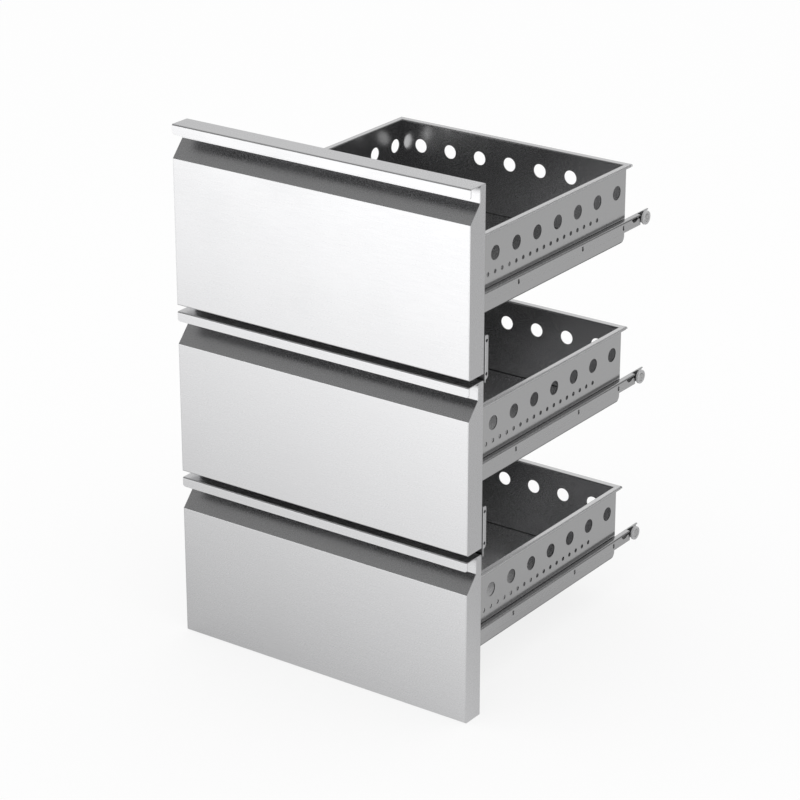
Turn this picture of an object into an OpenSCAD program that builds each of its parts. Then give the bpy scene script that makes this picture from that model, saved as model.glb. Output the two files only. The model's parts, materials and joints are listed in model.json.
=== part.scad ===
// Drawer unit for an outdoor kitchen: three drawers, one above the other, and
// the two crossbars that stand between their fronts. All sizes in millimetres.
// X runs across the fronts, Y runs from the user to the rear, and Z is up.
// The origin is the middle of the footprint, level with the lowest edge.

/* [Fronts] */
// Width of every front
front_w = 430; // [420:1:600]
// Thickness of a front, from its face to its back
front_t = 30; // [27:0.5:36]
// Height of the top front
top_front_h = 230; // [226:1:280]
// Height of the middle front
middle_front_h = 213; // [205:1:260]
// Height of the bottom front
bottom_front_h = 213; // [180:1:260]
// Gap between two fronts
front_gap = 8; // [6:0.5:12]
// Sheet of the skins, lips, back plates and caps
front_sheet = 1.2; // [0.8:0.1:1.5]
// Inner bend radius of that sheet
front_bend_r = 0.8; // [0.5:0.1:1.2]

/* [Grip] */
// Height of the lip that the fingers pull
lip_h = 12.5; // [9:0.5:18]
// Radius of the lip's lower corners
lip_corner_r = 3.5; // [1:0.5:6]
// Height of the fold with which the lip laps the back
lip_back_h = 12; // [8:1:20]
// Depth of the recess behind the lip
recess_d = 19; // [15:0.5:21]
// Height of the recess wall, from the top of the front
recess_h = 21.5; // [18:0.5:30]
// Height of the slope from the recess to the face
slope_h = 21; // [15:1:35]

/* [Seals] */
// Thickness of a seal
seal_t = 1.8; // [1:0.1:4]
// Width of a seal's strips
seal_w = 8; // [5:0.5:10]
// Margin from the front's edges to the seal
seal_inset = 2; // [1:0.5:4]
// Air between a seal and the crossbar behind it
seal_gap = 0.3; // [0.2:0.1:0.8]

/* [Bins] */
// Width inside a bin
bin_w = 335; // [320:1:340]
// Length inside a bin
bin_l = 374; // [300:1:480]
// Height of a bin, from the underside of its floor to its rim
bin_h = 103; // [98:1:106]
// Sheet of a bin
bin_sheet = 1.2; // [0.8:0.1:1.5]
// Inner bend radius of that sheet
bin_bend_r = 0.8; // [0.5:0.1:1.2]
// Rise of the top bin's underside above the lower edge of its front
top_bin_rise = 42; // [36:1:50]
// Rise of the two lower bins' undersides above the lower edges of their fronts
bin_rise = 48; // [36:1:52]
// Reach of the side rims beyond the walls
rim_side = 7; // [5:0.5:8]
// Reach of the rear rim beyond the back wall
rim_back = 9; // [7:0.5:12]
// Reach of the front wall's top fold into the bin
front_fold = 8; // [5:0.5:12]
// Height of the hem along the rims and the fold
rim_hem = 3.5; // [3:0.5:6]
// Length of the side walls behind the back wall
bin_tail = 5.6; // [4:0.2:6]
// Radius of the side walls' lower rear corners
tail_corner_r = 9; // [4:1:12]

/* [Holes] */
// Diameter of the large holes
large_hole_d = 18.2; // [10:0.1:20]
// Spacing of the large holes in the side walls
large_pitch = 45; // [30:1:60]
// Drop from the rim to the side walls' large holes
large_hole_drop = 33; // [20:1:38]
// Distance from the back wall to the last large hole
large_rear = 14.2; // [12:0.2:30]
// Least distance from the front wall to the first large hole
large_front = 80; // [50:1:100]
// Diameter of the small holes
small_hole_d = 5.5; // [3:0.1:8]
// Spacing of the small holes
small_pitch = 15; // [12:0.5:25]
// Drop from the rim to the small holes
small_hole_drop = 56; // [52:1:60]
// Distance from the back wall to the last small hole
small_rear = 59.2; // [20:0.2:80]
// Least distance from the front wall to the first small hole
small_front = 65; // [40:1:90]
// Spacing of the holes in the back wall
back_pitch = 45.8; // [30:0.2:60]
// Drop from the rim to the back wall's holes
back_hole_drop = 31; // [20:1:38]
// Least distance from a side wall to the back wall's first hole
back_side = 25; // [15:1:40]

/* [Rails] */
// Sheet of a rail
rail_sheet = 1.5; // [1:0.1:1.8]
// Inner bend radius of that sheet
rail_bend_r = 0.8; // [0.5:0.1:1]
// Height of a rail
rail_h = 13.5; // [12:0.5:16]
// Width of a rail
rail_w = 8.6; // [8.4:0.1:10]
// Drop from a bin's rim to its rails
rail_drop = 71.5; // [66:0.5:76]
// Reach of the foot that is screwed to the front
foot_reach = 18; // [12:0.5:19]
// Height of the foot
foot_h = 10; // [8:0.5:10.2]
// Width of the fixing slots in a rail's outer face
slot_w = 4.2; // [3:0.1:6]
// Height of the fixing slots
slot_h = 6.6; // [6.2:0.1:8]
// Width of the strip that carries the tongue past the roller
tongue_w = 3.3; // [2.8:0.1:3.5]
// Length of the tongue behind the axle
tongue_l = 17; // [12:0.5:25]
// Radius of the tongue's lower corner
tongue_corner_r = 4; // [1:0.5:6]

/* [Rollers] */
// Diameter of a roller
roller_d = 18; // [14:0.5:20]
// Width of a roller
roller_w = 8.3; // [6:0.1:10]
// Chamfer on a roller's edges
roller_edge = 0.8; // [0.3:0.1:1.5]
// Distance from the bin's back wall to the axle
axle_setback = 39.6; // [30:0.2:60]
// Drop from the top of the rail to the axle
axle_drop = 6.2; // [6:0.1:7]
// Diameter of an axle
axle_d = 6; // [4:0.1:6.4]
// Diameter of an axle's heads
axle_head_d = 10; // [8:0.2:11]
// Thickness of an axle's heads
axle_head_t = 0.9; // [0.6:0.1:1.5]
// Running clearance between axle and roller, on the radius
axle_clear = 0.05; // [0.02:0.01:0.09]

/* [Crossbars] */
// Sheet of a crossbar
bar_sheet = 1.2; // [0.8:0.1:1.5]
// Inner bend radius of that sheet
bar_bend_r = 0.8; // [0.5:0.1:1.2]
// Depth of a crossbar
bar_d = 7; // [6.5:0.5:12]
// Overlap of a crossbar with the front below it
bar_lap = 4; // [3:0.5:6]
// Height of an end tab
tab_h = 54.5; // [45:0.5:58]
// Rise of an end tab above the underside of the bin
tab_rise = 4; // [0:0.5:10]
// Radius of an end tab's upper corner
tab_top_r = 3; // [1:0.5:4]
// Diameter of the fixing holes in the end tabs
tab_hole_d = 4.2; // [3:0.1:5]
// Distance from a tab's ends to its fixing holes
tab_hole_inset = 6.75; // [5:0.25:10]
// Distance from the crossbar's face to the fixing holes
tab_hole_y = 3.7; // [3.5:0.1:4]
// Clearance between a bin and the crossbar under it
bar_bin_gap = 3; // [2:0.5:6]
// Clearance beside a bin where the crossbar is lowered
bar_side_gap = 6.3; // [3:0.1:10]

/* [Fasteners] */
// Diameter of the screws between the front and what it carries
screw_d = 4; // [3:0.1:5]
// Diameter of a screw's head
screw_head_d = 7.6; // [6:0.1:8]
// Height of a screw's head
screw_head_h = 2.4; // [1.5:0.1:3]
// Length of a screw under its head
screw_l = 8; // [5:0.5:16]
// Distance from a side wall to the bin's screws
screw_side = 32; // [20:1:60]
// Distance from the rim to the bin's upper screws
screw_top = 20; // [14:1:30]
// Distance from the bin's underside to its lower screws
screw_bottom = 20; // [12:1:30]
// Diameter of the rail rivets
rivet_d = 4; // [3:0.1:4.8]
// Diameter of a rivet's head
rivet_head_d = 6.6; // [5.5:0.1:8]
// Thickness of a rivet's head
rivet_head_t = 0.8; // [0.5:0.1:1]
// Clearance of a screw or rivet in its hole, on the radius
hole_clear = 0.05; // [0.02:0.01:0.1]

/* [Hidden] */
// Round bodies and the steps of a bend
$fn = 48;
bend_step = 15;
// Overrun of every cut past the face that it cuts
cut = 1;
// Shared length of two parts of one folded piece, where they are joined
joint_lap = 3;

// Air round the filling, and the width of its bores round the screws
core_gap = 0.3;
core_bore_gap = 1;
// Setback of the skin's top flange from the inside of the lip's back fold
flange_back = 1;
// Play of a roller along its axle, and its distance from the rail's tongue
roller_play = 0.15;
roller_side_gap = 0.6;
axle_collar_gap = 0.3;
roller_end_gap = 0.6;
// Rims of the axle's collar and of the pocket for its outer head
collar_rim = 0.75;
pocket_gap = 0.4;
pocket_d = 1;
// Setback of a rail's channel from its foot
rail_front_gap = 2.5;
// Clearance between the rear rim's underside and the ends of the side walls
tail_gap = 0.3;

DRAWERS = ["top", "middle", "bottom"];
PIECES = [
    "front_skin", "grip_lip", "front_core", "front_back_plate", "front_cap_left", "front_cap_right",
    "front_seal", "bin_body", "bin_back", "bin_front", "rail_left", "rail_right", "roller_left",
    "roller_right", "axle_left", "axle_right", "front_screws", "rail_rivets"
];

// Heights of the fronts, tops of the fronts and rim drops, from the top drawer down
front_hs = [top_front_h, middle_front_h, bottom_front_h];
bottom_front_top = bottom_front_h;
middle_front_top = bottom_front_top + front_gap + middle_front_h;
top_front_top = middle_front_top + front_gap + top_front_h;
front_tops = [top_front_top, middle_front_top, bottom_front_top];
bin_rises = [top_bin_rise, bin_rise, bin_rise];
rim_drops = [for (drawer = [0:2]) front_hs[drawer] - bin_rises[drawer] - bin_h];

// Front: half widths of the whole front and of what lies between its caps
front_half = front_w / 2;
inside_half = front_half - front_sheet;
front_outer_r = front_bend_r + front_sheet;

// Bin: faces of its walls, its rims and its floor, from its rim down
wall_in = bin_w / 2;
wall_out = wall_in + bin_sheet;
rim_x = wall_out + rim_side;
back_in = front_t + bin_sheet + bin_l;
back_out = back_in + bin_sheet;
rim_y = back_out + rim_back;
tail_y = back_out + bin_tail;
floor_top = bin_sheet - bin_h;
floor_end_x = wall_in - bin_sheet;
bin_outer_r = bin_bend_r + bin_sheet;
mitre_slope = (rim_y - back_in) / (rim_x - wall_in);

// Holes: how many fit, and where the first one from the rear lies
large_count = floor((bin_l - large_front - large_rear) / large_pitch) + 1;
small_count = floor((bin_l - small_front - small_rear) / small_pitch) + 1;
back_count = floor((bin_w - 2 * back_side) / back_pitch) + 1;

// Rail: its outer face, its front and rear, and the places of its fixings along the bin
rail_x = wall_out + rail_w;
rail_web_x = wall_out + rail_sheet;
rail_front = front_t + rail_sheet + rail_front_gap;
axle_y = back_out + axle_setback;
rail_end = axle_y + tongue_l;
rail_face_end = axle_y - roller_d / 2 - roller_end_gap;
tongue_x = wall_out + tongue_w;
fixing_shares = [0.343, 0.72, 0.972];
fixing_ys = [for (share = fixing_shares) front_t + share * (back_out - front_t)];
fixing_z = -rail_drop - rail_h / 2;
foot_screw = [rail_x + foot_reach / 2, rail_h - foot_h / 2];

// Roller: its inner face, and the height of the axle
roller_x = tongue_x + roller_side_gap;
axle_z = -rail_drop - axle_drop;

// Crossbar: its front face, and half the width of its lowered middle
bar_y = front_t + seal_t + seal_gap;
bar_outer_r = bar_bend_r + bar_sheet;
low_half = wall_out + bar_side_gap;

// Depth of the whole unit, from the face of the fronts to the ends of the rails
depth = rail_end;

// Direction to the left of a vector, as a unit vector
function left_of(v) = [-v[1], v[0]] / norm(v);

// A vector turned by an angle
function turned(v, angle) = [v[0] * cos(angle) - v[1] * sin(angle), v[0] * sin(angle) + v[1] * cos(angle)];

// Angle by which a path turns at b on its way from a to c, positive to the left
function turn_at(a, b, c) =
    let (u = b - a, v = c - b)
    atan2(u[0] * v[1] - u[1] * v[0], u * v);

// Points of a round corner at b on the way from a to c
function corner(a, b, c, r) =
    let (
        turn = turn_at(a, b, c),
        inward = sign(turn) * left_of(b - a),
        start = b - r * tan(abs(turn) / 2) * (b - a) / norm(b - a),
        middle = start + r * inward,
        steps = ceil(abs(turn) / bend_step)
    )
    [for (k = [0:steps]) middle - r * turned(inward, turn * k / steps)];

// A path moved to its left by t
function beside(path, t) = [
    for (i = [0:len(path) - 1])
        let (
            last = len(path) - 1,
            before = left_of(path[max(i, 1)] - path[max(i, 1) - 1]),
            after = left_of(path[min(i, last - 1) + 1] - path[min(i, last - 1)])
        )
        path[i] + t * (before + after) / (1 + before * after)
];

// A path whose corners are rounded, with one radius to the left and one to the right
function rounded(path, left_r, right_r) = [
    for (i = [0:len(path) - 1])
        each i == 0 || i == len(path) - 1
            ? [path[i]]
            : corner(path[i - 1], path[i], path[i + 1],
                turn_at(path[i - 1], path[i], path[i + 1]) > 0 ? left_r : right_r)
];

function reversed(path) = [for (i = [len(path) - 1:-1:0]) path[i]];

// Outline of a folded sheet: the path is one of its faces, and the sheet lies to the left of it
function sheet_outline(path, t, inner_r) = concat(
    rounded(path, inner_r + t, inner_r),
    reversed(rounded(beside(path, t), inner_r, inner_r + t))
);

// Extrusions of an outline along one axis, between two places on it
module along_x(start, end) {
    translate([start, 0, 0]) rotate([90, 0, 90]) linear_extrude(end - start) children();
}

module along_y(start, end) {
    translate([0, end, 0]) rotate([90, 0, 0]) linear_extrude(end - start) children();
}

module along_z(start, end) {
    translate([0, 0, start]) linear_extrude(end - start) children();
}

// Round bars along X and along Y
module bar_x(r, start, end, y, z) {
    translate([start, y, z]) rotate([0, 90, 0]) cylinder(r = r, h = end - start);
}

module bar_y_way(r, start, end, x, z) {
    translate([x, start, z]) rotate([-90, 0, 0]) cylinder(r = r, h = end - start);
}

// What rounds a corner whose material lies towards +X and +Y, over a height
module corner_cut(r, height) {
    difference() {
        translate([-cut, -cut, 0]) cube([r + cut, r + cut, height]);
        translate([r, r, -cut]) cylinder(r = r, h = height + 2 * cut);
    }
}

module both_sides() {
    children();
    mirror([1, 0, 0]) children();
}

// Frames: on a front, from its top edge, and on a bin, from its rim
module at_front(drawer) {
    translate([0, -depth / 2, front_tops[drawer]]) children();
}

module at_rim(drawer) {
    translate([0, -depth / 2, front_tops[drawer] - rim_drops[drawer]]) children();
}

// Outer face of the skin, from its top flange down and round to its rear edge
function skin_path(front_h) = [
    [front_t - front_sheet - flange_back, -front_sheet],
    [recess_d, -front_sheet],
    [recess_d, -recess_h],
    [0, -recess_h - slope_h],
    [0, -front_h],
    [front_t, -front_h]
];

module front_skin(drawer) {
    color("gainsboro")
    along_x(-inside_half, inside_half)
        polygon(sheet_outline(skin_path(front_hs[drawer]), front_sheet, front_bend_r));
}

module grip_lip() {
    path = [[front_t, -lip_back_h], [front_t, 0], [0, 0], [0, -lip_h]];
    color("whitesmoke")
    difference() {
        along_x(-front_half, front_half) polygon(sheet_outline(path, front_sheet, front_bend_r));
        both_sides()
            translate([-front_half, recess_d / 2, -lip_h])
            rotate([90, 0, 0])
            corner_cut(lip_corner_r, recess_d / 2 + cut);
    }
}

// Filling between skin, back plate and caps, with bores round the screws' ends
module front_core(drawer) {
    inner = beside(skin_path(front_hs[drawer]), front_sheet + core_gap);
    core_back = front_t - front_sheet - core_gap;
    core_half = inside_half - core_gap;
    color("wheat")
    difference() {
        along_x(-core_half, core_half)
            polygon([
                inner[1], inner[2], inner[3], inner[4],
                [core_back, inner[4][1]], [core_back, inner[1][1]]
            ]);
        screw_bars(drawer, screw_d / 2 + core_bore_gap, front_t - screw_l, front_t);
    }
}

module front_back_plate(drawer) {
    front_h = front_hs[drawer];
    color("silver")
    difference() {
        translate([-inside_half, front_t - front_sheet, front_sheet - front_h])
            cube([2 * inside_half, front_sheet, front_h - front_sheet - lip_back_h]);
        screw_bars(drawer, screw_d / 2 + hole_clear, front_t - front_sheet - cut, front_t + cut);
    }
}

// End plate with the front's profile, which fits inside the lip's folds
module front_cap(drawer) {
    bottom = -front_hs[drawer];
    inner_back = front_t - front_sheet;
    points = [
        [recess_d, -front_sheet],
        [recess_d, -recess_h],
        [0, -recess_h - slope_h],
        [0, bottom],
        [front_t, bottom],
        [front_t, -lip_back_h],
        [inner_back, -lip_back_h],
        [inner_back, -front_sheet]
    ];
    radii = [front_outer_r, front_bend_r, front_outer_r, front_outer_r, 0, 0, 0, front_outer_r];
    count = len(points);
    color("lightgray")
    along_x(inside_half, front_half)
        polygon([
            for (i = [0:count - 1])
                each radii[i] == 0
                    ? [points[i]]
                    : corner(points[(i + count - 1) % count], points[i], points[(i + 1) % count], radii[i])
        ]);
}

module front_seal(drawer) {
    outer_half = front_half - seal_inset;
    inner_half = outer_half - seal_w;
    outer_h = front_hs[drawer] - 2 * seal_inset;
    inner_h = outer_h - 2 * seal_w;
    color("dimgray")
    difference() {
        translate([-outer_half, front_t, -seal_inset - outer_h])
            cube([2 * outer_half, seal_t, outer_h]);
        translate([-inner_half, front_t - cut, -seal_inset - seal_w - inner_h])
            cube([2 * inner_half, seal_t + 2 * cut, inner_h]);
    }
}

// Floor, side walls and side rims of a bin, from one sheet
module bin_body() {
    path = [
        [rim_x, -rim_hem], [rim_x, 0], [wall_in, 0], [wall_in, floor_top],
        [-wall_in, floor_top], [-wall_in, 0], [-rim_x, 0], [-rim_x, -rim_hem]
    ];
    color("darkgray")
    difference() {
        along_y(front_t, rim_y) polygon(sheet_outline(path, bin_sheet, bin_bend_r));
        // Rear end of the floor
        translate([-floor_end_x, back_out, -bin_h - cut])
            cube([2 * floor_end_x, rim_y - back_out + cut, bin_h / 2]);
        both_sides() {
            // Mitre of the rim
            along_z(-rim_hem - cut, cut) rear_of_mitre();
            // End of the side wall, with its round lower corner
            translate([floor_end_x - cut, tail_y, -bin_h - cut])
                cube([rim_x - floor_end_x + 2 * cut, rim_y - tail_y + cut, bin_h + 2 * cut]);
            translate([wall_out + cut, tail_y, -bin_h])
                rotate([0, 0, -90])
                rotate([90, 0, 0])
                corner_cut(tail_corner_r, 2 * (bin_sheet + cut));
        }
        // Two rows of holes through both walls
        for (k = [0:large_count - 1])
            bar_x(large_hole_d / 2, -rim_x, rim_x, back_in - large_rear - k * large_pitch, -large_hole_drop);
        for (k = [0:small_count - 1])
            bar_x(small_hole_d / 2, -rim_x, rim_x, back_in - small_rear - k * small_pitch, -small_hole_drop);
        for (y = fixing_ys)
            bar_x(rivet_d / 2 + hole_clear, -rim_x, rim_x, y, fixing_z);
    }
}

// Area behind the mitre between the side rim and the rear rim
module rear_of_mitre() {
    far_y = rim_y + cut * mitre_slope;
    polygon([[wall_in - cut, back_in - cut * mitre_slope], [rim_x + cut, far_y], [wall_in - cut, far_y]]);
}

module bin_back() {
    path = [[rim_y, -rim_hem], [rim_y, 0], [back_in, 0], [back_in, floor_top]];
    color("gray")
    difference() {
        along_x(-rim_x, rim_x) polygon(sheet_outline(path, bin_sheet, bin_bend_r));
        both_sides() {
            // Mitre of the rim
            along_z(-bin_h - cut, cut)
                polygon([
                    [wall_in, back_in],
                    [wall_in, back_in - cut],
                    [rim_x + cut, back_in - cut],
                    [rim_x + cut, rim_y + cut * mitre_slope]
                ]);
            // Only the rim reaches out over the side walls
            translate([wall_in, back_in - cut, -bin_h - cut])
                cube([rim_x - wall_in + cut, tail_y + tail_gap - back_in + cut, bin_h + cut - bin_sheet]);
            bin_corner_cut(back_in);
        }
        for (k = [0:back_count - 1])
            bar_y_way(large_hole_d / 2, back_in - cut, back_out + cut,
                (k - (back_count - 1) / 2) * back_pitch, -back_hole_drop);
    }
}

// Room for the bend between floor and side wall at a wall's lower corner
module bin_corner_cut(y) {
    translate([wall_in, y - cut, floor_top])
        rotate([-90, 0, 0])
        mirror([1, 0, 0])
        mirror([0, 1, 0])
        corner_cut(bin_outer_r, bin_sheet + 2 * cut);
}

module bin_front(drawer) {
    path = [
        [front_t + front_fold, -rim_hem], [front_t + front_fold, 0], [front_t, 0], [front_t, floor_top]
    ];
    color("gray")
    difference() {
        along_x(-wall_in, wall_in) polygon(sheet_outline(path, bin_sheet, bin_bend_r));
        both_sides() bin_corner_cut(front_t);
        translate([0, 0, rim_drops[drawer]])
            screw_bars(drawer, screw_d / 2 + hole_clear, front_t - cut, front_t + bin_sheet + cut);
    }
}

// Rail on the right: channel on the bin's wall, foot at the front and tongue at the rear
module rail() {
    path = [[rail_x, -rail_h], [rail_x, 0], [wall_out, 0], [wall_out, -rail_h]];
    foot = [
        [rail_x + foot_reach, front_t + rail_sheet],
        [rail_x, front_t + rail_sheet],
        [rail_x, rail_front + joint_lap]
    ];
    color("silver")
    translate([0, 0, -rail_drop])
    difference() {
        union() {
            along_y(rail_front, rail_end) polygon(sheet_outline(path, rail_sheet, rail_bend_r));
            along_z(-rail_h, foot_h - rail_h) polygon(sheet_outline(foot, rail_sheet, rail_bend_r));
        }
        // Notch for the roller
        translate([tongue_x, rail_face_end, -rail_h - cut])
            cube([rail_w, rail_end - rail_face_end + cut, rail_h + 2 * cut]);
        translate([wall_out - cut, rail_end, -rail_h])
            rotate([0, 0, 90])
            rotate([90, 0, 0])
            mirror([1, 0, 0])
            corner_cut(tongue_corner_r, tongue_w + 2 * cut);
        for (y = fixing_ys) {
            fixing_slot(y);
            bar_x(rivet_d / 2 + hole_clear, wall_out - cut, rail_web_x + cut, y, -rail_h / 2);
        }
        bar_x(axle_d / 2 + hole_clear, wall_out - cut, rail_web_x + cut, axle_y, -axle_drop);
        bar_y_way(screw_d / 2 + hole_clear, front_t - cut, front_t + rail_sheet + cut,
            foot_screw[0], -foot_screw[1]);
    }
}

// Upright slot through the outer face of the rail
module fixing_slot(y) {
    start = rail_x - rail_sheet - cut;
    rise = (slot_h - slot_w) / 2;
    for (z = [-rise, rise])
        bar_x(slot_w / 2, start, rail_x + cut, y, z - rail_h / 2);
    translate([start, y - slot_w / 2, -rise - rail_h / 2])
        cube([rail_sheet + 2 * cut, slot_w, 2 * rise]);
}

// Running wheel with a bore and a pocket for the axle's outer head
module roller() {
    r = roller_d / 2;
    bore = axle_d / 2 + axle_clear;
    pocket = axle_head_d / 2 + pocket_gap;
    color("slategray")
    translate([roller_x, axle_y, axle_z])
    rotate([0, 90, 0])
    rotate_extrude()
        polygon([
            [bore, 0], [r - roller_edge, 0], [r, roller_edge], [r, roller_w - roller_edge],
            [r - roller_edge, roller_w], [pocket, roller_w], [pocket, roller_w - pocket_d],
            [bore, roller_w - pocket_d]
        ]);
}

// Pin with an inner head, a collar against the rail and an outer head in the roller's pocket
module axle() {
    r = axle_d / 2;
    head = axle_head_d / 2;
    collar = r + collar_rim;
    collar_end = roller_x - axle_collar_gap - wall_out;
    head_start = roller_x + roller_w - pocket_d + roller_play - wall_out;
    color("gainsboro")
    translate([wall_out, axle_y, axle_z])
    rotate([0, 90, 0])
    rotate_extrude()
        polygon([
            [0, -axle_head_t], [head, -axle_head_t], [head, 0], [r, 0],
            [r, rail_sheet], [collar, rail_sheet], [collar, collar_end], [r, collar_end],
            [r, head_start], [head, head_start], [head, head_start + axle_head_t],
            [0, head_start + axle_head_t]
        ]);
}

// Bars on the axes of a drawer's front screws, seen from the top of its front
module screw_bars(drawer, r, start, end) {
    for (place = screw_places(drawer))
        bar_y_way(r, start, end, place[0], place[1]);
}

// Axes of a drawer's front screws: four through the bin's front wall, then two through the rails' feet
function screw_places(drawer) =
    let (
        rim = -rim_drops[drawer],
        x = wall_in - screw_side,
        upper = rim - screw_top,
        lower = rim - bin_h + screw_bottom,
        foot = rim - rail_drop - foot_screw[1]
    )
    [
        [-x, upper], [x, upper], [-x, lower], [x, lower],
        [-foot_screw[0], foot], [foot_screw[0], foot]
    ];

module front_screws(drawer) {
    places = screw_places(drawer);
    color("gainsboro")
    for (i = [0:len(places) - 1]) {
        seat = front_t + (i < 4 ? bin_sheet : rail_sheet);
        translate([places[i][0], seat, places[i][1]]) screw();
    }
}

// Pan head screw that points to the front, with the underside of its head at the origin
module screw() {
    r = screw_d / 2;
    head = screw_head_d / 2;
    rotate([-90, 0, 0])
    rotate_extrude()
        polygon([
            [0, -screw_l], [r, -screw_l], [r, 0], [head, 0],
            [head, screw_head_h / 2], [head * 3 / 4, screw_head_h], [0, screw_head_h]
        ]);
}

// Three rivets a side, flush with the inside of the bin
module rail_rivets() {
    color("gainsboro")
    both_sides()
        for (y = fixing_ys) {
            translate([wall_in, y, fixing_z])
            rotate([0, 90, 0])
            rotate_extrude()
                polygon([
                    [0, 0], [rivet_d / 2, 0], [rivet_d / 2, bin_sheet + rail_sheet],
                    [rivet_head_d / 2, bin_sheet + rail_sheet],
                    [rivet_head_d / 2, bin_sheet + rail_sheet + rivet_head_t],
                    [0, bin_sheet + rail_sheet + rivet_head_t]
                ]);
        }
}

// Bar under one drawer: a face sheet with an end tab each side, and a channel in its lowered middle
module crossbar(drawer) {
    bin_bottom = -rim_drops[drawer] - bin_h;
    bottom = -front_hs[drawer] - front_gap - bar_lap;
    low_top = bin_bottom - bar_bin_gap;
    tab_top = bin_bottom + tab_rise;
    tab_bottom = tab_top - tab_h;
    low_end = min(bottom, tab_bottom);
    face = [[-front_half, bar_d], [-front_half, 0], [front_half, 0], [front_half, bar_d]];
    channel = [[bar_d, low_top], [0, low_top], [0, bottom], [bar_d, bottom]];
    joined_half = low_half - joint_lap;
    tab_x = front_half - bar_outer_r;
    color("lightgray")
    translate([0, bar_y, 0]) {
        difference() {
            union() {
                difference() {
                    along_z(low_end, tab_top) polygon(sheet_outline(face, bar_sheet, bar_bend_r));
                    // The channel takes the place of the face in the middle
                    translate([-low_half, -cut, low_top - bar_outer_r])
                        cube([2 * low_half, bar_sheet + 2 * cut, tab_top - low_top + bar_outer_r + cut]);
                    translate([-low_half, -cut, bottom - cut])
                        cube([2 * low_half, bar_sheet + 2 * cut, bar_outer_r + cut]);
                    translate([-joined_half, -cut, bottom - cut])
                        cube([2 * joined_half, bar_sheet + 2 * cut, tab_top - bottom + 2 * cut]);
                }
                along_x(-low_half, low_half) polygon(sheet_outline(channel, bar_sheet, bar_bend_r));
            }
            both_sides() {
                // Lower end of the tab, with its large round corner
                translate([tab_x, bar_outer_r, low_end - cut])
                    cube([bar_outer_r + cut, bar_d, tab_bottom - low_end + cut]);
                translate([tab_x, bar_outer_r, tab_bottom])
                    tab_corner(bar_d - bar_outer_r);
                translate([tab_x, bar_outer_r, tab_top])
                    mirror([0, 0, 1])
                    translate([0, bar_d - bar_outer_r - tab_top_r, 0])
                    tab_corner(tab_top_r);
                for (z = [tab_bottom + tab_hole_inset, tab_top - tab_hole_inset])
                    bar_x(tab_hole_d / 2, tab_x, front_half + cut, tab_hole_y, z);
            }
        }
    }
}

// What rounds the lower rear corner of a tab, from the start of the round onwards
module tab_corner(r) {
    difference() {
        translate([0, 0, -cut]) cube([bar_outer_r + cut, r + cut, r + cut]);
        bar_x(r, -cut, bar_outer_r + 2 * cut, 0, r);
    }
}

for (d = [0:2]) {
    at_front(d) front_skin(d);
    at_front(d) grip_lip();
    at_front(d) front_core(d);
    at_front(d) front_back_plate(d);
    at_front(d) mirror([1, 0, 0]) front_cap(d);
    at_front(d) front_cap(d);
    at_front(d) front_seal(d);
    at_rim(d) bin_body();
    at_rim(d) bin_back();
    at_rim(d) bin_front(d);
    at_rim(d) mirror([1, 0, 0]) rail();
    at_rim(d) rail();
    at_rim(d) mirror([1, 0, 0]) roller();
    at_rim(d) roller();
    at_rim(d) mirror([1, 0, 0]) axle();
    at_rim(d) axle();
    at_front(d) front_screws(d);
    at_rim(d) rail_rivets();
}
at_front(0) crossbar(0);  // upper_crossbar
at_front(1) crossbar(1);  // lower_crossbar
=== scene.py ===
"""Looks of the outdoor kitchen drawer unit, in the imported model's frame, in metres."""

import json
import math

import bmesh
import bpy
from mathutils import Matrix, Vector


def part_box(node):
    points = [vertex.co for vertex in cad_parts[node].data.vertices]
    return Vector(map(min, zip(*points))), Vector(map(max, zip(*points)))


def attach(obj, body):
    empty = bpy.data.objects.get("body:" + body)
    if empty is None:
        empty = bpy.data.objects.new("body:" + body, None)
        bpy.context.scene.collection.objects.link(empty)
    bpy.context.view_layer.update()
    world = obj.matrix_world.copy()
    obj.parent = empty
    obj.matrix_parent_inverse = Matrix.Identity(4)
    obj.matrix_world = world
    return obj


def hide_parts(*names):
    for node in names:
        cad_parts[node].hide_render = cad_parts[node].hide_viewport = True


MM = 0.001
DRAWERS = ("top", "middle", "bottom")
SIDES = (("left", -1), ("right", 1))

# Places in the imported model, in millimetres: x and y from its middle, z from the floor, and drops from a rim
RIM_Z = {"top": 587.0, "middle": 372.0, "bottom": 151.0}
WALL_IN_X, WALL_OUT_X = 167.5, 168.7
BACK_IN_Y, BACK_MIDDLE_Y = 173.7, 174.3
FLOOR_DROP = 101.8
RAIL_DROP = 71.5
RAIL_JOINT_DROP = 73.0
SCREWS = ((135.5, -200.3, 20.0), (135.5, -200.3, 83.0), (186.3, -200.0, 80.0))
RIVET_YS = (-72.4, 69.5, 164.4)
RIVET_DROP = 78.25

# Rail: its hollow's reach in y, the ends of its web and its outer face in x, and the cut in that face
RAIL_START_Y, RAIL_END_Y = -190.0, 204.9
WEB_END_X, FACE_START_X = 171.0, 172.0
FACE_SPAN_X = (174.8, 178.6)
RAIL_CUT = ((-21, -1.6), (-19.5, -4.2), (-16.5, -6.3), (-12.5, -6.7), (-9.5, -5.7), (-7, -4.3), (-4.5, -3.9),
            (-2.4, -4.8), (-1.0, -7.0), (0.4, -10.5), (2, -10.5), (2, -1.6))

# Dark beads in the joints, painted shade of the gaps there: their legs, and how far they reach in x or y
FOOT_BEAD_LEG, RAIL_BEAD_LEG = 0.9, 1.4
FOOT_BEAD_X = 166
RAIL_BEAD_YS = (-196, 173)

# The part of a wheel's width that its hub and the disc's inner side take, painted dark as the shade of the
# notch beside the rail
SHADED_HUB_REACH = 4.9

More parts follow.
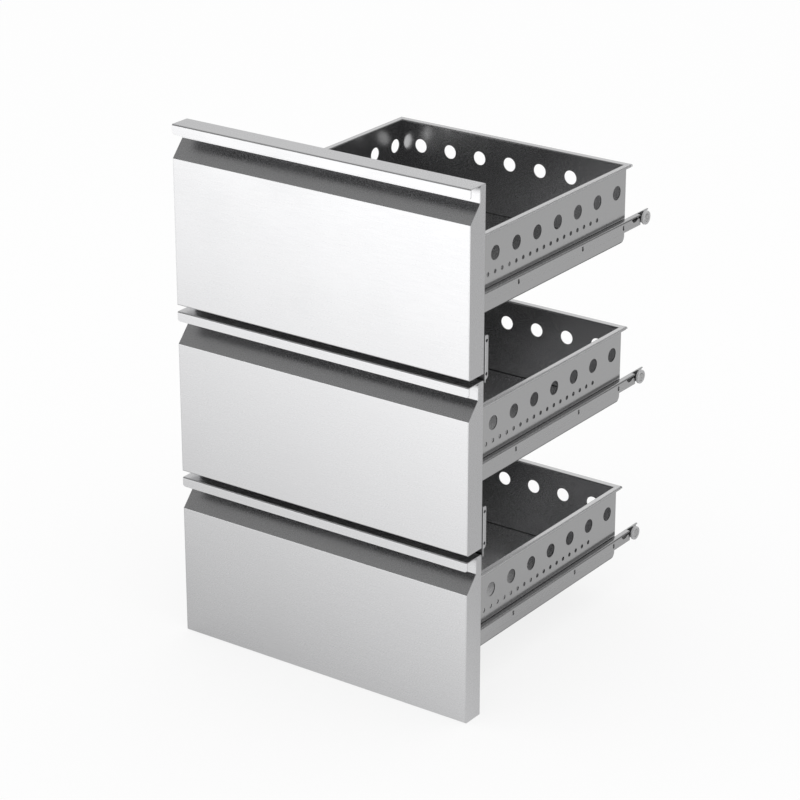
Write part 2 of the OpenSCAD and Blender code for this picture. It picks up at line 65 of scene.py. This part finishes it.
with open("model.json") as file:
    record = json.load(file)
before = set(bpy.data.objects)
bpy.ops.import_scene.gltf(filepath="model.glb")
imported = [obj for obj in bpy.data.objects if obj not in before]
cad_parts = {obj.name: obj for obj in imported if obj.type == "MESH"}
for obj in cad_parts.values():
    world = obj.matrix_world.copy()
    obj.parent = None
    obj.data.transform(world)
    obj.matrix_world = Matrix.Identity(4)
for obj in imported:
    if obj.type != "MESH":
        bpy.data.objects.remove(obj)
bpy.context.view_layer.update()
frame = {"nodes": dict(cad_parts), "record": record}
nodes = frame["nodes"]
body_of = {name: body for body, names in frame["record"]["behaviour"]["bodies"].items() for name in names}
scene = bpy.context.scene
scene.view_settings.view_transform = "Standard"


# Node materials

def new_nodes(material):
    material.use_nodes = True
    tree = material.node_tree
    tree.nodes.clear()
    return tree


def add(tree, kind, inputs=None, **settings):
    """A node with its settings, and its inputs as values or as sockets that feed them."""
    node = tree.nodes.new(kind)
    for key, value in settings.items():
        setattr(node, key, value)
    for key, value in (inputs or {}).items():
        if isinstance(value, bpy.types.NodeSocket):
            tree.links.new(value, node.inputs[key])
        else:
            node.inputs[key].default_value = value
    return node


def noise(tree, scale, detail=3.0, stretch=(1, 1, 1), rough=0.5):
    """Noise over the piece, per metre, stretched along the axes where stretch is low."""
    place = add(tree, "ShaderNodeTexCoord").outputs["Object"]
    placed = add(tree, "ShaderNodeMapping", {"Vector": place, "Scale": stretch})
    texture = add(tree, "ShaderNodeTexNoise", {
        "Vector": placed.outputs["Vector"], "Scale": scale, "Detail": detail, "Roughness": rough})
    return texture.outputs["Fac"]


def ranged(tree, value, low, high, start=0.3, end=0.7):
    """A value that goes from low to high while another goes from start to end."""
    return add(tree, "ShaderNodeMapRange", {
        "Value": value, "From Min": start, "From Max": end,
        "To Min": low, "To Max": high}, clamp=True).outputs["Result"]


def tinted(tree, factor, dark, light):
    """Colour between two; they are the mix node's sockets 6 and 7."""
    return add(tree, "ShaderNodeMix", {0: factor, 6: (*dark, 1), 7: (*light, 1)},
               data_type="RGBA").outputs[2]


def edge_normal(tree, height, strength, distance, radius):
    """Bumps over a normal whose sharp edges are rounded."""
    rounded = add(tree, "ShaderNodeBevel", {"Radius": radius}, samples=4)
    return add(tree, "ShaderNodeBump", {
        "Height": height, "Strength": strength, "Distance": distance,
        "Normal": rounded.outputs["Normal"]}).outputs["Normal"]


def steel(name, tone, roughness, brush, line=3200, anisotropy=0.4, edge=0.4 * MM,
          stretch_to=0.012, bump=0.16):
    """Stainless steel, brushed along one axis, with grain, clouds and rounded sheet edges."""
    material = bpy.data.materials.new(name)
    tree = new_nodes(material)
    stretch = [1.0, 1.0, 1.0]
    stretch["xyz".index(brush)] = stretch_to
    lines = noise(tree, line, 4.0, stretch, 0.65)
    streaks = noise(tree, line / 5, 3.0, stretch)
    clouds = noise(tree, 9.0, 3.0)
    dark = [part * 0.97 for part in tone]
    colour = tinted(tree, streaks, dark, tone)
    grain = ranged(tree, lines, roughness - 0.05, roughness + 0.07)
    cloudy = add(tree, "ShaderNodeMath", {0: grain, 1: ranged(tree, clouds, -0.03, 0.04)},
                 operation="ADD").outputs[0]
    normal = edge_normal(tree, lines, bump, 0.02 * MM, edge)
    brushed_way = [0.05, 0.04, 0.03]
    brushed_way["xyz".index(brush)] = 1.0
    face = add(tree, "ShaderNodeNewGeometry").outputs["Normal"]
    across = add(tree, "ShaderNodeVectorMath", {0: face, 1: brushed_way}, operation="CROSS_PRODUCT")
    shader = add(tree, "ShaderNodeBsdfPrincipled", {
        "Base Color": colour, "Metallic": 1.0, "Roughness": cloudy, "Normal": normal,
        "Anisotropic": anisotropy, "Tangent": across.outputs[0]})
    out = add(tree, "ShaderNodeOutputMaterial")
    tree.links.new(shader.outputs[0], out.inputs["Surface"])
    return material


def soft(name, dark, light, roughness, scale, bump, distance, specular=0.3):
    """Rubber, plastic or foam with a fine grain."""
    material = bpy.data.materials.new(name)
    tree = new_nodes(material)
    grain = noise(tree, scale, 4.0)
    clouds = noise(tree, scale / 25, 2.0)
    colour = tinted(tree, clouds, dark, light)
    shine = ranged(tree, grain, roughness - 0.06, roughness + 0.08)
    normal = edge_normal(tree, grain, bump, distance, 0.3 * MM)
    shader = add(tree, "ShaderNodeBsdfPrincipled", {
        "Base Color": colour, "Roughness": shine, "Normal": normal,
        "Specular IOR Level": specular})
    out = add(tree, "ShaderNodeOutputMaterial")
    tree.links.new(shader.outputs[0], out.inputs["Surface"])
    return material


FRONT = steel("front_steel", (0.82, 0.82, 0.83), 0.25, "x", edge=0.25 * MM)
CAP = steel("cap_steel", (0.78, 0.78, 0.79), 0.27, "z", stretch_to=0.05)
BIN = steel("bin_steel", (0.66, 0.66, 0.665), 0.17, "y", stretch_to=0.1)
BIN_END = steel("bin_end_steel", (0.66, 0.66, 0.665), 0.17, "x", stretch_to=0.1)
# Painted shade: the bin's inner walls, back and floor are darker copies of its steel, standing in for the
# shade inside the bin.
BIN_INSIDE_SHADE = steel("bin_inside_painted_shade", (0.46, 0.46, 0.465), 0.22, "y", stretch_to=0.1)
BACK_INSIDE_SHADE = steel("back_inside_painted_shade", (0.47, 0.47, 0.475), 0.22, "x", stretch_to=0.1)
BIN_FLOOR_SHADE = steel("bin_floor_painted_shade", (0.6, 0.6, 0.605), 0.24, "y", stretch_to=0.1)
# Painted light: the rims' top faces are a lighter copy of the bin's steel, as though lit from above.
RIM_PAINTED_LIGHT = steel("rim_painted_light", (0.8, 0.8, 0.805), 0.2, "y", stretch_to=0.1)
# Painted highlight: the bends at the rims' outer edges are near white and dull.
RIM_BEND_HIGHLIGHT = steel("rim_bend_painted_highlight", (0.92, 0.92, 0.925), 0.6, "y", anisotropy=0.0, stretch_to=0.1)
SLOPE = steel("slope_steel", (0.8, 0.8, 0.81), 0.26, "x", line=1600, edge=0.25 * MM, stretch_to=0.3, bump=0.3)
# Painted shade: the grip lip's underside and back are dark, standing in for the shade under the lip that the
# slope below reflects.
LIP_INSIDE_SHADE = steel("lip_inside_painted_shade", (0.22, 0.22, 0.225), 0.3, "x", stretch_to=0.05)
# Painted shade: dark walls in the punched holes and a dark bend under the bin, standing in for the shade in
# the holes and under the bin.
EDGE_SHADE = steel("edge_painted_shade", (0.16, 0.16, 0.162), 0.4, "z", anisotropy=0.0, stretch_to=1.0)
# Painted shade: the crossbars' front faces are near black, standing in for the shade in the gaps between the
# fronts.
BAR_FACE_SHADE = steel("bar_face_painted_shade", (0.1, 0.1, 0.102), 0.35, "x", stretch_to=0.05)
# Painted shade: the faces inside the rails' hollow are dark, standing in for the shade under the flange.
RAIL_INSIDE_SHADE = steel("rail_inside_painted_shade", (0.2, 0.2, 0.202), 0.4, "y", anisotropy=0.0, stretch_to=0.3)
RAIL = steel("rail_steel", (0.66, 0.66, 0.665), 0.24, "y", stretch_to=0.05)
BAR = steel("bar_steel", (0.72, 0.72, 0.73), 0.25, "x", stretch_to=0.03)
PIN = steel("pin_steel", (0.72, 0.72, 0.72), 0.3, "x", line=900, anisotropy=0.0, edge=0.2 * MM)
RUBBER = soft("seal_rubber", (0.03, 0.03, 0.032), (0.05, 0.05, 0.052), 0.5, 900, 0.3, 0.05 * MM)
PLASTIC = soft("roller_plastic", (0.46, 0.46, 0.465), (0.54, 0.54, 0.545), 0.4, 1500, 0.2, 0.03 * MM, 0.5)
# Painted shade: the roller's hub and the disc's inner side are near black, for the shade in the notch beside
# the rail.
HUB_SHADE = soft("roller_hub_painted_shade", (0.035, 0.035, 0.037), (0.055, 0.055, 0.057), 0.55, 1200, 0.3, 0.04 * MM, 0.3)
# Painted shade: the joint beads' near-black colour stands in for the shadow in the gaps at the joints.
JOINT_SHADE = soft("joint_painted_shade", (0.02, 0.02, 0.021), (0.04, 0.04, 0.041), 0.7, 1500, 0.3, 0.05 * MM, 0.1)
FOAM = soft("foam", (0.72, 0.62, 0.4), (0.82, 0.74, 0.52), 0.8, 600, 0.7, 0.3 * MM, 0.1)

LOOKS = {
    "front_skin": FRONT, "grip_lip": FRONT, "front_core": FOAM, "front_back_plate": FRONT,
    "front_cap_left": CAP, "front_cap_right": CAP, "front_seal": RUBBER,
    "bin_body": BIN, "bin_back": BIN_END, "bin_front": BIN_END,
    "rail_left": RAIL, "rail_right": RAIL, "roller_left": PLASTIC, "roller_right": PLASTIC,
    "axle_left": PIN, "axle_right": PIN, "front_screws": PIN, "rail_rivets": PIN,
    "crossbar": BAR}


def dress(node, material):
    node.data.materials.clear()
    node.data.materials.append(material)


def dress_faces(node, material, chosen):
    """Another finish on the faces that a test of middle and normal chooses."""
    node.data.materials.append(material)
    for face in node.data.polygons:
        if chosen(face.center, face.normal):
            face.material_index = len(node.data.materials) - 1


def dress_bin(drawer):
    """Painted shade and light on a bin: darker inside walls, floor and back, dark hole walls and bottom bend,
    and lighter rims and rim bends.
    """
    body, back = nodes[f"{drawer}_bin_body"], nodes[f"{drawer}_bin_back"]
    low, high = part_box(f"{drawer}_bin_body")
    inner_x = (WALL_IN_X + 0.1) * MM
    floor_z = low.z + 3 * MM
    rim_z, bend_z = high.z - 3 * MM, high.z - 4 * MM

    def punched(c):
        return low.z + 20 * MM < c.z < high.z - 15 * MM

    # Painted shade: darker inner walls and floor, for the shade inside the bin.
    dress_faces(body, BIN_INSIDE_SHADE, lambda c, n: abs(c.x) < inner_x and n.x * c.x < -0.2 * abs(c.x))
    dress_faces(body, BIN_FLOOR_SHADE, lambda c, n: c.z < floor_z and n.z > 0.5)
    # Painted shade: dark walls in the punched holes.
    dress_faces(body, EDGE_SHADE, lambda c, n: (
        punched(c) and abs(n.x) < 0.3 and abs(c.x) > inner_x - 0.5 * MM))
    dress_faces(back, EDGE_SHADE, lambda c, n: (
        punched(c) and abs(n.y) < 0.3 and abs(c.y - BACK_MIDDLE_Y * MM) < 0.8 * MM))
    # Painted shade: a dark bend along the bottom of the bin's sides.
    dress_faces(body, EDGE_SHADE, lambda c, n: c.z < floor_z and -0.96 < n.z < -0.1 and abs(n.x) > 0.2)
    # Painted light: lighter top faces on the rims.
    for sheet in (body, back):
        dress_faces(sheet, RIM_PAINTED_LIGHT, lambda c, n: c.z > rim_z and n.z > 0.5)
    # Painted highlight: near-white bends at the rims' outer edges.
    dress_faces(body, RIM_BEND_HIGHLIGHT, lambda c, n: c.z > bend_z and 0.1 < n.z < 0.97 and n.x * c.x > 0)
    dress_faces(back, RIM_BEND_HIGHLIGHT, lambda c, n: c.z > bend_z and 0.1 < n.z < 0.97 and n.y > 0)
    # Painted shade: a darker inner face on the back wall.
    dress_faces(back, BACK_INSIDE_SHADE, lambda c, n: n.y < -0.5)


for name, node in nodes.items():
    dress(node, LOOKS[name.split("_", 1)[1]])
for drawer in DRAWERS:
    dress_bin(drawer)
    dress_faces(nodes[f"{drawer}_front_skin"], SLOPE, lambda c, n: n.z > 0.2 and n.y < -0.2)
    # Painted shade: a dark underside and back on the grip lip.
    dress_faces(nodes[f"{drawer}_grip_lip"], LIP_INSIDE_SHADE, lambda c, n: n.z < -0.3 or n.y > 0.3)
# Painted shade: near-black front faces on the crossbars, for the shade in the gaps between the fronts.
for name in ("upper_crossbar", "lower_crossbar"):
    dress_faces(nodes[name], BAR_FACE_SHADE, lambda c, n: n.y < -0.4)


# Pieces in mesh code

def piece(name, bm, node, material, stands_for=True):
    """A new piece that moves with a CAD node's body, and stands for that node unless told otherwise."""
    bmesh.ops.recalc_face_normals(bm, faces=bm.faces)
    for face in bm.faces:
        face.smooth = True
    for edge in bm.edges:
        if len(edge.link_faces) == 2 and edge.calc_face_angle() > math.radians(35):
            edge.smooth = False
    mesh = bpy.data.meshes.new(name)
    bm.to_mesh(mesh)
    bm.free()
    mesh.materials.append(material)
    made = bpy.data.objects.new(name, mesh)
    scene.collection.objects.link(made)
    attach(made, body_of[node])
    if stands_for:
        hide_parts(node)
    return made


def arc(middle, radius, start, stop, steps=6):
    """Points (r, h) of an arc, with its angles in degrees."""
    turns = [math.radians(start + (stop - start) * k / steps) for k in range(steps + 1)]
    return [(middle[0] + radius * math.cos(a), middle[1] + radius * math.sin(a)) for a in turns]


def rings(bm, outlines, place, closed=False):
    """Skin over rings of points in millimetres; a ring of one point closes the form there."""
    made = [[bm.verts.new(place @ Vector([part * MM for part in point])) for point in ring]
            for ring in outlines]
    pairs = list(zip(made, made[1:] + made[:1] if closed else made[1:]))
    for a, b in pairs:
        count = max(len(a), len(b))
        for k in range(count):
            corners = [a[k % len(a)], a[(k + 1) % len(a)], b[(k + 1) % len(b)], b[k % len(b)]]
            bm.faces.new(list(dict.fromkeys(corners)))


def turned_ring(r, h, count=48, shape=None):
    """Ring of points at a height, round or with a radius that varies with the angle."""
    if r == 0:
        return [(0, 0, h)]
    around = [2 * math.pi * k / count for k in range(count)]
    reaches = [(shape(a) if shape else 1) * r for a in around]
    return [(reach * math.cos(a), reach * math.sin(a), h) for a, reach in zip(around, reaches)]


def along(direction, place):
    """Matrix that lays the form's own Z along a direction, at a place in metres."""
    turn = Vector((0, 0, 1)).rotation_difference(Vector(direction)).to_matrix().to_4x4()
    return Matrix.Translation(place) @ turn


def cross_shape(arm, half_width):
    """Radius of a cross recess at an angle, as a share of its arms' length."""
    def radius(angle):
        part = (angle + math.pi / 4) % (math.pi / 2) - math.pi / 4
        if abs(math.tan(part)) < half_width / arm:
            return 1 / math.cos(part)
        return half_width / arm / abs(math.sin(part))
    return radius


def screw(bm, place):
    """Pan head with a cross recess, and a threaded shank behind it."""
    head, crest, root, pitch = 3.8, 1.98, 1.62, 0.7
    cross = cross_shape(1.9, 0.5)
    outline = [turned_ring(0, -8), turned_ring(1.5, -8)]
    turn = -7.6
    while turn < -pitch:
        outline += [turned_ring(crest, turn), turned_ring(root, turn + pitch / 2)]
        turn += pitch
    outline += [turned_ring(crest, 0), turned_ring(head, 0), turned_ring(head, 0.9)]
    outline += [turned_ring(r, h) for r, h in arc((head - 1.3, 0.9), 1.3, 10, 62)]
    outline += [turned_ring(2.5, 2.28), turned_ring(1.9, 2.34, shape=cross),
                turned_ring(1.6, 1.2, shape=cross), turned_ring(0, 0.9)]
    rings(bm, outline, place)


def rivet(bm, place):
    """Flat end in the bin's wall, with the dimple of the tool, and a domed head in the rail."""
    outline = [(0, 0.25), (0.8, 0.2), (1.1, 0.02), (1.85, 0.02), (2.0, 0.15), (2.0, 2.7), (3.25, 2.7),
               (3.3, 2.85), (3.0, 3.1), (2.3, 3.3), (1.3, 3.42), (0, 3.46)]
    rings(bm, [turned_ring(*point) for point in outline], place)


def roller(bm, place):
    """Running wheel: a hub, a disc with a rounded rim, a groove on its face and a pocket for the axle."""
    r, hub, w, step = 9.0, 7.2, 8.3, 4.8
    outline = [(3.05, 0.3), (3.3, 0.0), (hub - 0.4, 0.0), (hub, 0.4), (hub, step), (r - 0.9, step)]
    outline += arc((r - 0.7, step + 0.7), 0.7, -60, 0) + [(r, w - 1.4)]
    outline += arc((r - 0.9, w - 0.9), 0.9, 5, 85)
    outline += [(7.6, w), (7.4, w - 0.5), (6.6, w - 0.5), (6.4, w), (5.65, w), (5.4, w - 0.25),
                (5.4, w - 1), (3.05, w - 1)]
    rings(bm, [turned_ring(*point, 64) for point in outline], place, closed=True)


def axle(bm, place, length):
    """Headed pin: a low dome inside, a collar by the rail, and a riveted head outside."""
    end = length - 0.9
    outline = [(0, 0), (3.6, 0.06), (4.6, 0.3), (5.0, 0.75), (5.0, 0.9), (3.0, 0.9), (3.0, 2.4), (3.6, 2.4),
               (3.75, 2.55), (3.75, 4.3), (3.6, 4.5), (3.0, 4.5), (3.0, end), (4.9, end), (5.0, end + 0.12),
               (4.95, end + 0.45), (4.5, end + 0.72), (3.4, end + 0.85), (1.5, end + 0.9), (1.2, end + 0.7),
               (0.6, end + 0.55), (0, end + 0.5)]
    rings(bm, [turned_ring(*point) for point in outline], place)


def bead(bm, start, end, first, second, leg):
    """Hollow fillet bead in a corner, with its legs along two directions, in millimetres."""
    start, end = Vector(start), Vector(end)
    first, second = Vector(first) * leg, Vector(second) * leg
    section = [Vector((0, 0, 0)), first]
    section += [first * (1 - math.sin(a)) + second * (1 - math.cos(a))
                for a in (math.radians(22.5), math.radians(45), math.radians(67.5))]
    section.append(second)
    middle = (first + second) * 0.2
    rings(bm, [[start + middle], [start + point for point in section],
               [end + point for point in section], [end + middle]], Matrix.Identity(4))


def seal(bm, low, high):
    """Rubber frame with mitred corners: a flat base with two round sealing ribs."""
    width = 8.0
    thick = (high[1] - low[1]) / MM
    profile = [(0, 0), (0, 0.5), (0.5, 0.8)]
    profile += arc((1.9, thick - 0.9), 0.9, 190, -10, 8) + [(3.4, 0.75), (4.6, 0.75)]
    profile += arc((6.1, thick - 0.9), 0.9, 190, -10, 8) + [(7.5, 0.8), (width, 0.5), (width, 0)]
    loops = []
    for inset, rise in profile:
        x0, x1 = low[0] / MM + inset, high[0] / MM - inset
        z0, z1 = low[2] / MM + inset, high[2] / MM - inset
        y = low[1] / MM + rise
        loops.append([(x0, y, z0), (x1, y, z0), (x1, y, z1), (x0, y, z1)])
    rings(bm, loops, Matrix.Identity(4), closed=True)


def prism(bm, outline, x0, x1):
    """Outline in y and z, drawn out from x0 to x1, in millimetres."""
    for face_x in (x0, x1):
        bm.faces.new([bm.verts.new(Vector((face_x, y, z)) * MM) for y, z in outline])
    bm.verts.ensure_lookup_table()
    count = len(outline)
    for k in range(count):
        after = (k + 1) % count
        bm.faces.new([bm.verts[k], bm.verts[after], bm.verts[count + after], bm.verts[count + k]])
    bmesh.ops.recalc_face_normals(bm, faces=bm.faces)


def cut_away(source, cutter):
    """A node's form, welded, less another form, as a new bmesh."""
    holders = []
    for bm in (source, cutter):
        mesh = bpy.data.meshes.new("blank")
        bm.to_mesh(mesh)
        bm.free()
        holders.append(bpy.data.objects.new("blank", mesh))
        scene.collection.objects.link(holders[-1])
    cut = holders[0].modifiers.new("cut", "BOOLEAN")
    cut.operation = "DIFFERENCE"
    cut.solver = "EXACT"
    cut.object = holders[1]
    bpy.context.view_layer.update()
    seen = holders[0].evaluated_get(bpy.context.evaluated_depsgraph_get())
    made = bmesh.new()
    made.from_mesh(seen.to_mesh())
    seen.to_mesh_clear()
    for holder in holders:
        mesh = holder.data
        bpy.data.objects.remove(holder)
        bpy.data.meshes.remove(mesh)
    return made


def rail(drawer, side, sign):
    """A rail whose outer face is cut away under its flange beside the roller, with painted shade inside its
    hollow.
    """
    top = RIM_Z[drawer] - RAIL_DROP
    bm = bmesh.new()
    bm.from_mesh(nodes[f"{drawer}_rail_{side}"].data)
    for layer in list(bm.loops.layers.float_vector.values()):
        bm.loops.layers.float_vector.remove(layer)
    bmesh.ops.remove_doubles(bm, verts=bm.verts, dist=0.001 * MM)
    cutter = bmesh.new()
    prism(cutter, [(RAIL_END_Y + y, top + z) for y, z in RAIL_CUT], *(sign * x for x in FACE_SPAN_X))
    bm = cut_away(bm, cutter)
    bmesh.ops.bisect_plane(bm, geom=bm.verts[:] + bm.edges[:] + bm.faces[:],
                           plane_co=(0, RAIL_END_Y * MM, 0), plane_no=(0, 1, 0))
    made = piece(f"{drawer}_cut_rail_{side}", bm, f"{drawer}_rail_{side}", RAIL)

    # Painted shade: the web, the inner side of the face and the flange's underside in the rail's hollow are
    # dark.
    def hollow(c, n):
        on_web = abs(c.x) < WEB_END_X * MM and n.x * sign > 0.6
        in_face = abs(c.x) > FACE_START_X * MM and n.x * sign < -0.6
        under_flange = c.z > (top - 4) * MM and n.z < -0.6
        return RAIL_START_Y * MM < c.y < RAIL_END_Y * MM and (on_web or in_face or under_flange)

    dress_faces(made, RAIL_INSIDE_SHADE, hollow)


def screws(drawer):
    rim = RIM_Z[drawer]
    bm = bmesh.new()
    for _, sign in SIDES:
        for x, y, drop in SCREWS:
            screw(bm, along((0, 1, 0), Vector((sign * x, y, rim - drop)) * MM))
    piece(f"{drawer}_cross_screws", bm, f"{drawer}_front_screws", PIN)


def rivets(drawer):
    rim = RIM_Z[drawer]
    bm = bmesh.new()
    for _, sign in SIDES:
        for y in RIVET_YS:
            rivet(bm, along((sign, 0, 0), Vector((sign * WALL_IN_X, y, rim - RIVET_DROP)) * MM))
    piece(f"{drawer}_domed_rivets", bm, f"{drawer}_rail_rivets", PIN)


def wheel_and_pin(drawer, side, sign):
    low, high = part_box(f"{drawer}_roller_{side}")
    middle = (low + high) / 2
    inner = low.x if sign > 0 else high.x
    bm = bmesh.new()
    roller(bm, along((sign, 0, 0), Vector((inner, middle.y, middle.z))))
    wheel = piece(f"{drawer}_wheel_{side}", bm, f"{drawer}_roller_{side}", PLASTIC)
    # Painted shade: the hub and the disc's inner side are dark, for the shade in the notch beside the rail.
    dress_faces(wheel, HUB_SHADE, lambda c, n: abs(c.x - inner) < SHADED_HUB_REACH * MM)
    low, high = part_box(f"{drawer}_axle_{side}")
    pin_inner = low.x if sign > 0 else high.x
    bm = bmesh.new()
    axle(bm, along((sign, 0, 0), Vector((pin_inner, middle.y, middle.z))), (high.x - low.x) / MM)
    piece(f"{drawer}_pin_{side}", bm, f"{drawer}_axle_{side}", PIN)


def joint_beads(drawer):
    """Dark beads at the foot of the back wall, and along the joints between the walls and the rails, painted
    shade of the gaps there.
    """
    foot_z, rail_z = RIM_Z[drawer] - FLOOR_DROP, RIM_Z[drawer] - RAIL_JOINT_DROP
    bm = bmesh.new()
    foot_ends = [(x, BACK_IN_Y, foot_z) for x in (-FOOT_BEAD_X, FOOT_BEAD_X)]
    bead(bm, *foot_ends, (0, -1, 0), (0, 0, 1), FOOT_BEAD_LEG)
    for _, sign in SIDES:
        rail_ends = [(sign * WALL_OUT_X, y, rail_z) for y in RAIL_BEAD_YS]
        bead(bm, *rail_ends, (sign, 0, 0.75), (0, 0, 1), RAIL_BEAD_LEG)
    piece(f"{drawer}_joint_beads", bm, f"{drawer}_bin_body", JOINT_SHADE, stands_for=False)


for drawer in DRAWERS:
    screws(drawer)
    rivets(drawer)
    for side, sign in SIDES:
        rail(drawer, side, sign)
        wheel_and_pin(drawer, side, sign)
    bm = bmesh.new()
    seal(bm, *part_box(f"{drawer}_front_seal"))
    piece(f"{drawer}_ribbed_seal", bm, f"{drawer}_front_seal", RUBBER)
    joint_beads(drawer)


# Studio

def towards(vector_x, vector_y, tree, x, y):
    """How far a direction or place lies along a level vector."""
    part_x = add(tree, "ShaderNodeMath", {0: x, 1: vector_x}, operation="MULTIPLY").outputs[0]
    return add(tree, "ShaderNodeMath", {0: y, 1: vector_y, 2: part_x},
               operation="MULTIPLY_ADD").outputs[0]


def blend_values(tree, factor, low, high):
    """Value between two; they are the mix node's sockets 2 and 3."""
    return add(tree, "ShaderNodeMix", {0: factor, 2: low, 3: high}, data_type="FLOAT").outputs[0]


# Ways in which the studio and the floor are brighter, and the shares of light that metal sees there
FRONT_LEFT = (-0.585, -0.811)
FRONT_RIGHT = (0.45, -1.0)
FULL_LIGHT = 0.95
RIGHT_REAR_LIGHT = 0.18
FLOOR_BEHIND, FLOOR_AHEAD = 0.4, 1.5
FLOOR_GLOW = 0.8
FLOOR_HALF = 9.0
FLOOR_Z = -0.5 * MM

world = bpy.data.worlds.new("studio")
scene.world = world
world.use_nodes = True
tree = world.node_tree
tree.nodes.clear()
path = add(tree, "ShaderNodeLightPath")
direction = add(tree, "ShaderNodeTexCoord").outputs["Generated"]
xyz = add(tree, "ShaderNodeSeparateXYZ", {"Vector": direction})
ahead = towards(*FRONT_LEFT, tree, xyz.outputs[0], xyz.outputs[1])
front_share = ranged(tree, ahead, 0.0, 1.0, -0.3, 0.5)
low_front = ranged(tree, xyz.outputs[2], 1.05, 0.1, 0.0, 0.3)
high_front = ranged(tree, xyz.outputs[2], 0.0, 0.13, 0.45, 0.7)
front_light = add(tree, "ShaderNodeMath", {0: low_front, 1: high_front}, operation="ADD").outputs[0]
right_share = ranged(tree, xyz.outputs[0], 0.0, 1.0, -0.1, 0.35)
left_rear = ranged(tree, xyz.outputs[2], 0.5, 0.72, 0.0, 0.4)
back_light = blend_values(tree, right_share, left_rear, RIGHT_REAR_LIGHT)
seen_in_metal = blend_values(tree, front_share, back_light, front_light)
seen = blend_values(tree, path.outputs["Is Glossy Ray"], FULL_LIGHT, seen_in_metal)
strength = blend_values(tree, path.outputs["Is Camera Ray"], seen, 1.0)
back = add(tree, "ShaderNodeBackground", {"Color": (1, 1, 1, 1), "Strength": strength})
out = add(tree, "ShaderNodeOutputWorld")
tree.links.new(back.outputs[0], out.inputs["Surface"])

floor_mesh = bpy.data.meshes.new("floor")
corners = [(x * FLOOR_HALF, y * FLOOR_HALF, FLOOR_Z) for x, y in ((-1, -1), (1, -1), (1, 1), (-1, 1))]
floor_mesh.from_pydata(corners, [], [(0, 1, 2, 3)])
floor = bpy.data.objects.new("floor", floor_mesh)
scene.collection.objects.link(floor)
material = bpy.data.materials.new("floor")
tree = new_nodes(material)
path = add(tree, "ShaderNodeLightPath")
place = add(tree, "ShaderNodeTexCoord").outputs["Object"]
xyz = add(tree, "ShaderNodeSeparateXYZ", {"Vector": place})
ahead = towards(*FRONT_RIGHT, tree, xyz.outputs[0], xyz.outputs[1])
in_front = ranged(tree, ahead, 0.0, 1.0, 0.058, 1.322)
lit = blend_values(tree, in_front, FLOOR_BEHIND, FLOOR_AHEAD)
glow = blend_values(tree, path.outputs["Is Glossy Ray"], 1.0, lit)
shine = add(tree, "ShaderNodeEmission", {"Color": (1, 1, 1, 1), "Strength": glow})
matt = add(tree, "ShaderNodeBsdfDiffuse", {"Color": (0.95, 0.95, 0.95, 1)})
seen_share = blend_values(tree, path.outputs["Is Camera Ray"], 0.0, FLOOR_GLOW)
share = blend_values(tree, path.outputs["Is Glossy Ray"], seen_share, FLOOR_GLOW)
mixed = add(tree, "ShaderNodeMixShader", {0: share})
tree.links.new(matt.outputs[0], mixed.inputs[1])
tree.links.new(shine.outputs[0], mixed.inputs[2])
out = add(tree, "ShaderNodeOutputMaterial")
tree.links.new(mixed.outputs[0], out.inputs["Surface"])
floor_mesh.materials.append(material)


def area_light(name, place, target, size, power):
    """Round area light that faces a target."""
    lamp = bpy.data.lights.new(name, "AREA")
    lamp.shape = "DISK"
    lamp.size = size
    lamp.energy = power
    holder = bpy.data.objects.new(name, lamp)
    scene.collection.objects.link(holder)
    holder.location = place
    aim = [b - a for a, b in zip(place, target)]
    flat = math.hypot(aim[0], aim[1])
    holder.rotation_euler = (math.atan2(flat, -aim[2]), 0, math.atan2(-aim[0], aim[1]))


area_light("key", (0.5, -0.4, 3.6), (0, 0, 0.35), size=2.6, power=12)

camera_data = bpy.data.cameras.new("camera")
camera_data.lens = 129.12
camera_data.sensor_width = 36.0
camera_data.clip_end = 40.0
camera = bpy.data.objects.new("camera", camera_data)
scene.collection.objects.link(camera)
camera.location = (1.9118, -2.7452, 1.6670)
camera.rotation_euler = (math.radians(90 - 22.363), 0.0, math.radians(35.504))
scene.camera = camera
